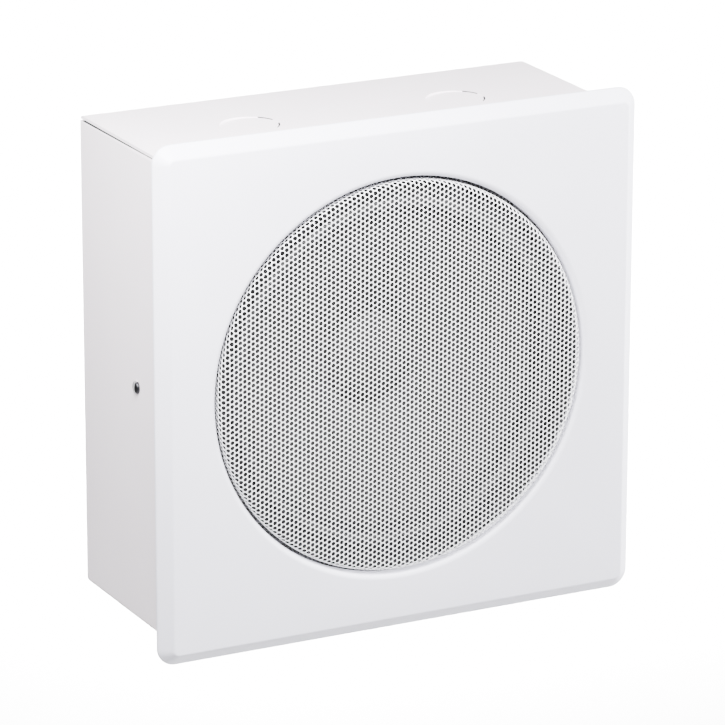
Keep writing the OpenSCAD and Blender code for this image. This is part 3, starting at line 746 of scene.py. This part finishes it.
@dataclass
class FrontPanel:
    """Pressed square panel with its bevelled border and rolled-in opening, in mm.

    The opening's edge turns in a little tighter than the solid's, for the
    narrow light line that it shows in the photograph.
    """

    width: float = 250.0
    height: float = 250.0
    thickness: float = 1.2
    corner_r: float = 9.0
    bevel_w: float = 6.0
    bevel_deg: float = 42.0
    knee_r: float = 2.0
    rim_r: float = 1.5
    opening_d: float = 193.0
    roll_r: float = 3.0
    roll_d: float = 6.0
    run: float = 0.5
    bend_steps: int = 8
    roll_steps: int = 16
    corner_steps: int = 12
    round_steps: int = 192
    crease_deg: float = 40.0

    def border(self) -> list[Point]:
        """Lists the border's front line, outwards from the corner's axis.

        Returns:
            Points as reach from the corner's axis and depth behind the face.
        """
        knee_u = self.corner_r - self.bevel_w - self.knee_r * math.tan(math.radians(self.bevel_deg / 2))
        rim_u = self.corner_r - self.rim_r
        slope = math.radians(self.bevel_deg)
        rim_s = (rim_u - self.corner_r + self.bevel_w) * math.tan(slope) + self.rim_r / math.cos(slope)
        knee = arc((knee_u, self.knee_r), self.knee_r, -90, self.bevel_deg - 90, self.bend_steps)
        rim = arc((rim_u, rim_s), self.rim_r, self.bevel_deg - 90, 0, self.bend_steps)
        return knee + rim + [(self.corner_r, rim_s + self.run)]

    def edge(self) -> list[Point]:
        """Lists the opening's front line, inwards.

        Returns:
            Points as radius and depth behind the face.
        """
        mouth = self.opening_d / 2 + self.roll_r
        roll = arc((mouth, self.roll_r), self.roll_r, -90, -180, self.roll_steps)
        return roll + [(self.opening_d / 2, self.roll_d)]

    def ring_of(self, reach: float, depth: float) -> list[Place]:
        """Lists one ring of points around the square.

        Args:
            reach: distance from the corners' axes.
            depth: depth behind the face.

        Returns:
            The ring's points in metres.
        """
        ring = []
        across, up = self.width / 2 - self.corner_r, self.height / 2 - self.corner_r
        for quarter, (sx, sz) in enumerate(((1, 1), (-1, 1), (-1, -1), (1, -1))):
            for step in range(self.corner_steps + 1):
                turn = math.radians(90 * quarter + 90 * step / self.corner_steps)
                ring.append(behind_face(
                    sx * across + reach * math.cos(turn), sz * up + reach * math.sin(turn), depth
                ))
        return ring

    def build(self, finish: Material) -> Object:
        """Makes the panel as one closed sheet.

        Args:
            finish: the coat.

        Returns:
            The panel's object.
        """
        work = bmesh.new()
        rows = [self.ring_of(u, s) for u, s in sheet_profile(self.border(), self.thickness)]
        hole = sheet_profile(self.edge(), -self.thickness)
        turns = [2 * math.pi * k / self.round_steps for k in range(self.round_steps)]
        mouth = [[behind_face(r * math.cos(a), r * math.sin(a), s) for a in turns] for r, s in hole]
        for rings in (rows, mouth):
            grid = [[work.verts.new(p) for p in ring] for ring in rings]
            for first, second in zip(grid, grid[1:]):
                for k in range(len(first)):
                    n = (k + 1) % len(first)
                    work.faces.new((first[k], first[n], second[n], second[k]))
            rings[:] = grid
        for side in (0, -1):
            loops = []
            for ring in (rows[side], mouth[side]):
                for k, vert in enumerate(ring):
                    pair = (vert, ring[(k + 1) % len(ring)])
                    loops.append(work.edges.get(pair) or work.edges.new(pair))
            bmesh.ops.triangle_fill(work, edges=loops, use_beauty=True)
        bmesh.ops.recalc_face_normals(work, faces=work.faces)
        points = [tuple(v.co) for v in work.verts]
        work.verts.index_update()
        faces = [[v.index for v in f.verts] for f in work.faces]
        work.free()
        return make_piece("pressed_front_panel", points, faces, finish, self.crease_deg)


@dataclass
class Grille:
    """Perforated steel pan, in mm.

    The holes stand on the real pitch of 2.5 mm. They are 2.2 mm wide in a thin
    sheet, for the real 1.5 mm, because the render blurs them: only so are they
    as dark as in the photograph.
    """

    outer_r: float = 94.8
    shoulder_r: float = 3.0
    proud: float = 0.5
    thickness: float = 0.25
    bend_r: float = 1.0
    flange_s: float = 6.0
    flange_r: float = 105.5
    hole_d: float = 2.2
    pitch: float = 2.5
    holed_to: float = 101.0
    spare: float = 8.0
    sides: int = 6
    crease_deg: float = 50.0

    def along(self, reach: np.ndarray) -> tuple[np.ndarray, np.ndarray, np.ndarray, np.ndarray]:
        """Follows the pressed sheet outwards from its middle.

        Args:
            reach: distances along the sheet.

        Returns:
            Radius and depth of its front face there, and the radial and depth
            parts of the direction into the sheet.
        """
        flat = self.outer_r - self.shoulder_r
        turn = self.shoulder_r * math.pi / 2
        wall = self.flange_s - self.bend_r - self.shoulder_r + self.proud
        curl = self.bend_r * math.pi / 2
        radius, depth = reach.copy(), np.full_like(reach, -self.proud)
        normal_r, normal_s = np.zeros_like(reach), np.ones_like(reach)
        rest = reach - flat
        bent = (rest > 0) & (rest <= turn)
        angle = rest[bent] / self.shoulder_r
        radius[bent] = flat + self.shoulder_r * np.sin(angle)
        depth[bent] = self.shoulder_r - self.proud - self.shoulder_r * np.cos(angle)
        normal_r[bent], normal_s[bent] = -np.sin(angle), np.cos(angle)
        rest = rest - turn
        upright = (rest > 0) & (rest <= wall)
        radius[upright] = self.outer_r
        depth[upright] = self.shoulder_r - self.proud + rest[upright]
        normal_r[upright], normal_s[upright] = -1.0, 0.0
        rest = rest - wall
        turned = (rest > 0) & (rest <= curl)
        angle = rest[turned] / self.bend_r
        radius[turned] = self.outer_r + self.bend_r * (1 - np.cos(angle))
        depth[turned] = self.flange_s - self.bend_r + self.bend_r * np.sin(angle)
        normal_r[turned], normal_s[turned] = -np.cos(angle), np.sin(angle)
        rest = rest - curl
        flange = rest > 0
        radius[flange] = self.outer_r + self.bend_r + rest[flange]
        depth[flange] = self.flange_s
        return radius, depth, normal_r, normal_s

    def cells(self, keep: Callable[[float], bool]) -> tuple[np.ndarray, list[tuple[int, ...]]]:
        """Lays out the six-sided cells of the hole pattern on the flat sheet.

        Args:
            keep: tells from a column's place across whether this half has it.

        Returns:
            Flat points as across, up and depth into the sheet, and the faces.
        """
        column = self.pitch * math.sqrt(3) / 2
        length = self.outer_r + self.flange_s + self.spare
        sides, round_sides = self.sides, 2 * self.sides
        corner = arc((0, 0), self.pitch / math.sqrt(3), 0, 360, sides)[:-1]
        hole = arc((0, 0), self.hole_d / 2, 0, 360, round_sides)[:-1]
        points: list[Place] = []
        faces: list[tuple[int, ...]] = []
        reach = int(length / column) + 1
        for i in range(-reach, reach + 1):
            x = i * column
            if not keep(x):
                continue
            for j in range(-reach, reach + 1):
                z = (j + (0.5 if i % 2 else 0.0)) * self.pitch
                out = math.hypot(x, z)
                if out > length:
                    continue
                first = len(points)
                points += [(x + a, z + b, 0.0) for a, b in corner]
                if out > self.holed_to:
                    faces.append(tuple(range(first, first + sides)))
                    continue
                points += [(x + a, z + b, 0.0) for a, b in hole]
                points += [(x + a, z + b, self.thickness) for a, b in hole]
                rim = first + sides
                for k in range(sides):
                    v, w = first + k, first + (k + 1) % sides
                    before, middle, after = (rim + (2 * k + n) % round_sides for n in range(3))
                    faces += [(v, middle, before), (v, w, middle), (w, after, middle)]
                for k in range(round_sides):
                    a, b = rim + k, rim + (k + 1) % round_sides
                    faces.append((a, b, b + round_sides, a + round_sides))
        return np.array(points), faces

    def half(self, name: str, keep: Callable[[float], bool], finish: Material) -> Object:
        """Makes one half of the pan.

        Args:
            name: the piece's name.
            keep: tells from a column's place across whether this half has it.
            finish: the coat.

        Returns:
            The half's object.
        """
        flat, faces = self.cells(keep)
        reach = np.hypot(flat[:, 0], flat[:, 1])
        radius, depth, into_r, into_s = self.along(reach)
        radius = np.minimum(radius, self.flange_r) + into_r * flat[:, 2]
        depth = depth + into_s * flat[:, 2]
        turn = np.arctan2(flat[:, 1], flat[:, 0])
        points = np.stack([radius * np.cos(turn), FACE_Y + depth, radius * np.sin(turn)], axis=1) * MM
        return make_piece(name, points.tolist(), faces, finish, self.crease_deg)


@dataclass
class Cabinet:
    """The white outside: panel, grille, folded box and its side screws."""

    panel: FrontPanel = field(default_factory=FrontPanel)
    grille: Grille = field(default_factory=Grille)

    def dress(self, coat: Material, plate: Material) -> None:
        """Builds the panel and the grille, and dresses the box.

        Args:
            coat: the powder coat.
            plate: the zinc plate.
        """
        settle(self.panel.build(coat), Body.CABINET, "white_powder_coat", "front_panel")
        pan = GrilleCoat().material()
        left = self.grille.half("perforated_grille_left", lambda x: x <= 0, pan)
        right = self.grille.half("perforated_grille_right", lambda x: x > 0, pan)
        settle(left, Body.CABINET, "grille_powder_coat", "grille")
        settle(right, Body.CABINET, "grille_powder_coat")
        dress(BoxCoat().material(), "back_box")
        dress(ScrewWithPaintedLight().material(), "side_screw_left", "side_screw_right")
        dress(plate, "clinch_nuts", "panel_bracket_left", "panel_bracket_right")


@dataclass
class Driver:
    """The loudspeaker behind the grille, in mm behind the panel's face."""

    land_out_r: float = 91.2
    land_room: float = 0.2
    land_s: float = 10.6
    leg_r: float = 79.5
    roll_r: float = 3.0
    edge_t: float = 0.6
    lip_s: float = 14.0
    lip_in_r: float = 75.5
    shelf_out_r: float = 56.0
    wave_out_r: float = 46.0
    spider_leg_r: float = 17.2
    neck_r: float = 13.2
    spider_s: float = 42.4
    wave: float = 1.0
    rings: int = 4
    collar: float = 3.0
    roll_steps: int = 20
    wave_steps: int = 12
    # A straight wall that stretches with the cone has this many steps
    leg_steps: int = 6
    surround_step: float = 0.4
    # The spider stays still as far as this behind its middle plane, just past its waves
    spider_still: float = 1.1

    def surround(self, cloth: Material) -> None:
        """Makes the half-roll edge that lets the cone travel.

        Args:
            cloth: the doped cloth.
        """
        front = self.land_s - self.edge_t
        path = [(self.land_out_r - self.land_room, front)]
        path += arc((self.leg_r + self.roll_r, front), self.roll_r, 0, -180, self.roll_steps)
        path += [(self.leg_r, front + self.surround_step * i) for i in range(1, self.leg_steps + 1)]
        path += [(self.leg_r, self.lip_s - self.edge_t), (self.lip_in_r, self.lip_s - self.edge_t)]
        piece = lathe("cloth_surround", sheet_profile(path, -self.edge_t), cloth)
        settle(piece, None, "treated_cloth", "surround")
        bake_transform(piece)

    def spider(self, cloth: Material) -> None:
        """Makes the corrugated ring that centres the voice coil.

        Args:
            cloth: the stiffened cotton.
        """
        path = [(self.shelf_out_r, self.spider_s)]
        steps = self.wave_steps * self.rings
        for i in range(steps + 1):
            radius = self.wave_out_r + (self.spider_leg_r - self.wave_out_r) * i / steps
            path.append((radius, self.spider_s - self.wave * math.sin(2 * math.pi * i / self.wave_steps)))
        path += [(self.spider_leg_r, self.spider_s + self.collar * i / self.leg_steps)
                 for i in range(1, self.leg_steps + 1)]
        path += [(self.neck_r, self.spider_s + self.collar)]
        piece = lathe("corrugated_spider", sheet_profile(path, -self.edge_t), cloth)
        settle(piece, None, "spider_cloth", "spider")
        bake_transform(piece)

    def dress(self, plate: Material) -> None:
        """Builds the soft rings and dresses the driver's solids.

        Args:
            plate: the zinc plate of the clamps and the magnet's steel.
        """
        # Paper pulp, dyed through and pressed: matt black with a soft mottle of fibres
        pulp = Fibrous("black_paper_pulp", "#1B1B1C", "#2C2B2B", roughness=0.8, grain_mm=0.7, relief_mm=0.08)
        # Cloth under a soft lacquer: black, with a dull sheen on its weave
        doped = Fibrous("doped_cloth", "#18181A", "#242426", roughness=0.6, grain_mm=0.45, relief_mm=0.05)
        # Cotton stiffened with resin: amber and matt
        cotton = Fibrous("resin_cotton", "#B98E4E", "#CFA868", roughness=0.8, grain_mm=0.35, relief_mm=0.06)
        # Closed-cell foam, cut from sheet: the deepest matt black, with pores
        foam = Fibrous("closed_cell_foam", "#232324", "#2E2E30", roughness=0.9, grain_mm=0.6, relief_mm=0.1)
        # Stoved enamel on pressed steel: an even gloss that runs in slight waves
        enamel = Moulded("black_stove_enamel", "#151516", roughness=0.38, texture_mm=1.2, ior=1.5)
        # Ferrite, sintered and ground flat: charcoal with a fine grain
        ferrite = Fibrous("sintered_ferrite", "#2B2B2E", "#3A3A3D",
                          roughness=0.62, grain_mm=0.3, relief_mm=0.02)
        # Kraft paper, wound on a mandrel: brown and fibrous
        kraft = Fibrous("kraft_paper", "#9B7B4B", "#AE8E5D", roughness=0.75, grain_mm=0.5, relief_mm=0.03)
        # Paper pressed with resin and punched: dark brown with a dull sheen
        laminate = Fibrous("paper_laminate", "#6B4524", "#7C5430",
                           roughness=0.5, grain_mm=0.8, relief_mm=0.02)
        self.surround(doped.material())
        self.spider(cotton.material())
        dress(pulp.material(), "cone", "dust_cap")
        dress(foam.material(), "driver_gasket")
        dress(enamel.material(), "basket")
        dress(ferrite.material(), "magnet")
        dress(kraft.material(), "voice_coil_former")
        dress(laminate.material(), "tag_strip")
        dress(plate, "top_plate", "yoke", "driver_studs", "driver_nuts", "clamp_upper_left",
              "clamp_upper_right", "clamp_lower_left", "clamp_lower_right")


@dataclass
class Leads:
    """The braided leads from the solder tags to the moving cone, in mm."""

    braid_d: float = 1.2
    strands: int = 3
    # How much the strands stand out, and how far they turn, in radians, from one ring to the next
    swell: float = 0.08
    lay: float = 1.3
    ring_points: int = 12
    span_steps: int = 6
    crease_deg: float = 60.0
    still_to: float = 43.0
    moves_from: float = 33.5
    # Across, down and behind the face
    route: tuple[Place, ...] = (
        (7.0, 61.3, 46.1), (7.0, 68.0, 41.0), (7.0, 70.0, 35.5), (6.5, 66.0, 31.0),
        (6.5, 54.0, 30.0), (6.0, 42.0, 33.0), (6.0, 35.0, 33.5), (6.0, 34.0, 31.7),
    )

    def line(self, side: int) -> list[Vector]:
        """Draws a smooth curve through the route's knots.

        Args:
            side: 1 for the right lead, -1 for the left.

        Returns:
            The curve's points, in mm.
        """
        knots = [Vector((side * x, down, s)) for x, down, s in self.route]
        points = []
        for i in range(len(knots) - 1):
            a, b, c, d = (knots[max(0, min(len(knots) - 1, i + k))] for k in (-1, 0, 1, 2))
            for k in range(self.span_steps):
                t = k / self.span_steps
                points.append(0.5 * (2 * b + (c - a) * t + (2 * a - 5 * b + 4 * c - d) * t * t
                                     + (3 * b - a - 3 * c + d) * t ** 3))
        return points + [knots[-1]]

    def lead(self, side: int, copper: Material) -> Object:
        """Sweeps one braided lead.

        Args:
            side: 1 for the right lead, -1 for the left.
            copper: the braid's metal.

        Returns:
            The lead's object.
        """
        line, count = self.line(side), self.ring_points
        points, faces = [], []
        for i, at in enumerate(line):
            ahead = (line[min(i + 1, len(line) - 1)] - line[max(i - 1, 0)]).normalized()
            across = ahead.cross(Vector((1, 0, 0))).normalized()
            up = across.cross(ahead)
            for k in range(count):
                turn = 2 * math.pi * k / count
                swell = 1 + self.swell * math.sin(self.strands * turn + self.lay * i)
                spot = at + (across * math.cos(turn) + up * math.sin(turn)) * swell * self.braid_d / 2
                points.append(behind_face(spot.x, -spot.y, spot.z))
        for i in range(len(line) - 1):
            for k in range(count):
                n = (k + 1) % count
                faces.append((count * i + k, count * i + n, count * (i + 1) + n, count * (i + 1) + k))
        faces.append(tuple(range(count)))
        faces.append(tuple(range(count * (len(line) - 1), count * len(line))))
        name = f"braided_lead_{'right' if side > 0 else 'left'}"
        return make_piece(name, points, faces, copper, self.crease_deg)

    def dress(self, copper: Material) -> None:
        """Builds both leads, which flex between the tags and the cone.

        Args:
            copper: the braid's metal.
        """
        for side in (1, -1):
            piece = self.lead(side, copper)
            settle(piece, None, "copper_wire", *(("tinsel_leads",) if side > 0 else ()))
            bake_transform(piece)


@dataclass
class Wiring:
    """Transformer, terminals and wires on the back wall."""

    def dress(self, plate: Material, copper: Material) -> None:
        """Dresses every solid of the electrical parts.

        Args:
            plate: the zinc plate of the hardware.
            copper: the bare copper.
        """
        # Brass, turned and stamped: warm yellow, dulled in clouds
        brass = BareMetal("brass", "#C9A75C", "#9C7E42", roughness=0.32, cloud_mm=2.5)
        # Polyamide, moulded in its natural ivory: soft and waxy
        ivory = Moulded("ivory_polyamide", "#DAD2BC", roughness=0.42, texture_mm=0.6)
        # Polyester tape, wound tight over the coil: yellow and smooth
        tape = Moulded("polyester_tape", "#C9A93A", roughness=0.3, texture_mm=2.0)
        # Soft PVC, extruded over the wires: even colour and a dull gloss
        white = Moulded("white_pvc", "#DEDDD8", roughness=0.35, texture_mm=1.0, ior=1.53)
        red = Moulded("red_pvc", "#9E2320", roughness=0.35, texture_mm=1.0, ior=1.53)
        dress(Laminations().material(), "transformer_core")
        dress(ivory.material(), "transformer_bobbin", "terminal_block")
        dress(tape.material(), "transformer_coil")
        dress(plate, "transformer_strap", "terminal_screws", "back_studs", "back_nuts", "earth_washer")
        dress(brass.material(), "earth_stud", "earth_nut", "solder_tags")
        dress(copper, "voice_coil_winding")
        dress(white.material(), "line_wires")
        dress(red.material(), "speaker_wires")


@dataclass
class Light:
    """One soft rectangular studio light, in metres and watts."""

    name: str
    place: Place
    aim: Place
    width: float
    height: float
    power: float
    spread_deg: float = 180.0
    colour: str = "#FFFFFF"

    def build(self) -> None:
        """Hangs the light and turns it to its aim."""
        data = bpy.data.lights.new(self.name, "AREA")
        data.shape = "RECTANGLE"
        data.size, data.size_y = self.width, self.height
        data.energy = self.power
        data.spread = math.radians(self.spread_deg)
        data.color = linear(self.colour)[:3]
        lamp = bpy.data.objects.new(self.name, data)
        lamp.location = self.place
        lamp.rotation_euler = (Vector(self.aim) - Vector(self.place)).to_track_quat("-Z", "Y").to_euler()
        lamp.visible_camera = False
        bpy.context.scene.collection.objects.link(lamp)


@dataclass(frozen=True)
class StudioPaper:
    """Seamless studio paper, uncoated: pale and matt, with no glare."""

    name: str = "studio_paper"
    colour: str = "#FBFBFB"
    roughness: float = 0.9
    unevenness: float = 0.02
    clouds_per_metre: float = 3.0

    def material(self) -> Material:
        """Builds the paper, whose roughness varies by a trace.

        Returns:
            The paper's material.
        """
        material, shader, place = surface(self.name, self.colour, self.roughness)
        noise = add_node(material, "ShaderNodeTexNoise", {"Scale": self.clouds_per_metre}, {"Vector": place})
        matt = add_node(
            material, "ShaderNodeMapRange",
            {"To Min": self.roughness - self.unevenness, "To Max": self.roughness + self.unevenness},
            {"Value": noise.outputs["Fac"]},
        )
        join(material, matt.outputs["Result"], shader, "Roughness")
        return material


@dataclass
class Studio:
    """Camera, lights and floor, in metres and degrees."""

    camera_at: Place = (-1.0128, -2.0481, 0.7058)
    yaw: float = 27.01
    pitch: float = 17.67
    roll: float = 0.12
    lens: float = 245.2
    floor_z: float = -0.60
    floor_size: float = 30.0
    sky: float = 0.15
    # Each light's name, place, aim, width, height and power, and the floor washes' spread
    lights: tuple[Light, ...] = (
        Light("softbox_upper_left", (-0.3, -0.35, 0.35), (-0.1, -0.1, 0.08), 0.2, 0.2, 6.8),
        Light("strip_upper_left", (-0.2, -0.3, 0.4), (-0.1, -0.1, 0.1), 0.3, 0.1, 7.3),
        Light("strip_above", (0.0, -0.3, 0.4), (0.0, -0.1, 0.12), 0.8, 0.1, 4.7),
        Light("softbox_right", (0.7, -0.5, 0.4), (0.1, -0.1, 0.05), 0.4, 0.6, 21.6),
        Light("strip_right", (0.6, -0.13, 0.0), (0.125, -0.1, 0.0), 0.1, 0.5, 10.5),
        Light("fill_left", (-0.45, 0.0, 0.3), (-0.12, -0.05, 0.05), 0.2, 0.2, 0.5),
        Light("fill_left_near", (-0.32, -0.05, 0.2), (-0.12, -0.05, 0.08), 0.15, 0.15, 0.8),
        Light("floor_wash_near", (0.75, 1.35, 0.7), (0.75, 1.35, -0.6), 1.3, 1.3, 115.0, 50.0),
        Light("floor_wash_far", (1.35, 2.55, 0.7), (1.35, 2.55, -0.6), 1.5, 1.5, 140.0, 50.0),
    )

    def camera(self) -> None:
        """Sets the camera where the photograph was taken from."""
        yaw, pitch = math.radians(self.yaw), math.radians(self.pitch)
        ahead = Vector((
            math.sin(yaw) * math.cos(pitch), math.cos(yaw) * math.cos(pitch), -math.sin(pitch)
        ))
        right = Vector((math.cos(yaw), -math.sin(yaw), 0.0))
        up = right.cross(ahead)
        turned = Matrix((right, up, -ahead)).transposed()
        turned = turned @ Matrix.Rotation(math.radians(self.roll), 3, "Z")
        data = bpy.data.cameras.new("camera")
        data.sensor_fit = "HORIZONTAL"
        data.sensor_width = 36.0
        data.lens = self.lens
        data.clip_end = 100.0
        camera = bpy.data.objects.new("camera", data)
        camera.matrix_world = Matrix.Translation(self.camera_at) @ turned.to_4x4()
        bpy.context.scene.collection.objects.link(camera)
        bpy.context.scene.camera = camera

    def floor(self) -> None:
        """Lays a wide pale floor below the speaker, which hangs on no wall here."""
        half = self.floor_size / 2
        points = [(-half, -half, self.floor_z), (half, -half, self.floor_z),
                  (half, half, self.floor_z), (-half, half, self.floor_z)]
        floor = make_piece("studio_floor", points, [(0, 1, 2, 3)], StudioPaper().material())

    def air(self) -> None:
        """Fills the studio with even white light."""
        world = bpy.data.worlds.new("studio_air")
        bpy.context.scene.world = world
        world.use_nodes = True
        back = world.node_tree.nodes["Background"]
        back.inputs["Color"].default_value = (1.0, 1.0, 1.0, 1.0)
        back.inputs["Strength"].default_value = self.sky

    def build(self) -> None:
        """Sets up the whole studio."""
        self.camera()
        self.air()
        self.floor()
        for light in self.lights:
            light.build()


def main() -> None:
    """Builds the studio and the speaker, from the outside in."""
    logging.basicConfig(level=logging.INFO, format="%(name)s %(message)s")
    Studio().build()
    coat = PowderCoat().material()
    plate = ZincPlate().material()
    # Copper, drawn to wire: reddish, and dull in places
    copper = BareMetal("copper", "#C98B62", "#8F5A3C", roughness=0.38, cloud_mm=1.5).material()
    Cabinet().dress(coat, plate)
    Driver().dress(plate)
    Leads().dress(copper)
    Wiring().dress(plate, copper)


if __name__ == "__main__":
    main()
